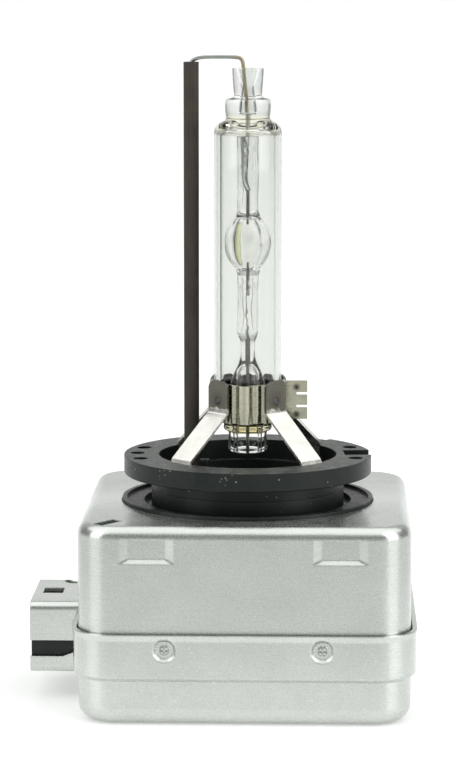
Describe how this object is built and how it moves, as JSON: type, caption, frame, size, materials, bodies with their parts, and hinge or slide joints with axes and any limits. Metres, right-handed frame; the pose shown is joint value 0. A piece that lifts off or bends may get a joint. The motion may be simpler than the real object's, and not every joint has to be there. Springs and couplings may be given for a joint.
{
  "type": "headlight bulb",
  "caption": "Gas-discharge headlight bulb with twin quartz tubes, a locating cap ring and an igniter box with a side connector.",
  "frame": {"origin": "centre of the cap ring's top face, on the burner's axis", "axes": "+Z along the burner away from the box, -X out of the connector, -Y to the front"},
  "size_m": [0.0495, 0.0448, 0.0824],
  "materials": {
    "aluminium_sheet": "satin drawn sheet",
    "black_plastic": "moulded, fine matt",
    "quartz": "clear polished quartz",
    "stainless_strip": "cold-rolled, satin",
    "weld": "heat-tinted",
    "dark_ceramic": "unglazed, extruded",
    "white_ceramic": "unglazed",
    "return_wire": "drawn wire",
    "tungsten": "drawn",
    "molybdenum": "rolled foil and drawn wire",
    "metal_salts": "frozen salts, translucent",
    "brass_strip": "stamped",
    "copper": "enamelled winding",
    "ferrite": "sintered",
    "bobbin_plastic": "glass-filled moulding",
    "capacitor_case": "dipped",
    "resistor_film": "lacquered",
    "potting": "cast"
  },
  "bodies": {
    "root": {"top_cover": "aluminium_sheet", "bottom_pan": "aluminium_sheet", "cap_ring": "black_plastic", "igniter_housing": "black_plastic", "housing_base": "black_plastic", "connector_housing": "black_plastic", "contact_pin_supply": "brass_strip", "contact_pin_lamp": "brass_strip", "contact_pin_return": "brass_strip", "supply_strip": "brass_strip", "lamp_strip": "brass_strip", "return_strip": "brass_strip", "coil_bobbin": "bobbin_plastic", "ferrite_core": "ferrite", "primary_winding": "copper", "secondary_winding": "copper", "ignition_capacitor": "capacitor_case", "spark_gap_body": "white_ceramic", "spark_gap_caps": "brass_strip", "bleed_resistor": "resistor_film", "return_terminal": "brass_strip", "high_voltage_terminal": "brass_strip", "potting_compound": "potting", "upper_electrode": "tungsten", "lower_electrode": "tungsten", "upper_foil": "molybdenum", "lower_foil": "molybdenum", "upper_lead": "molybdenum", "lower_lead": "molybdenum", "arc_tube": "quartz", "outer_bulb": "quartz", "salt_deposit": "metal_salts", "return_wire": "return_wire", "ceramic_tube": "dark_ceramic", "clamp_band": "stainless_strip", "weld_spots": "weld", "support_leg_front_left": "stainless_strip", "support_leg_front_right": "stainless_strip", "support_leg_rear_left": "stainless_strip", "support_leg_rear_right": "stainless_strip"}
  },
  "joints": []
}
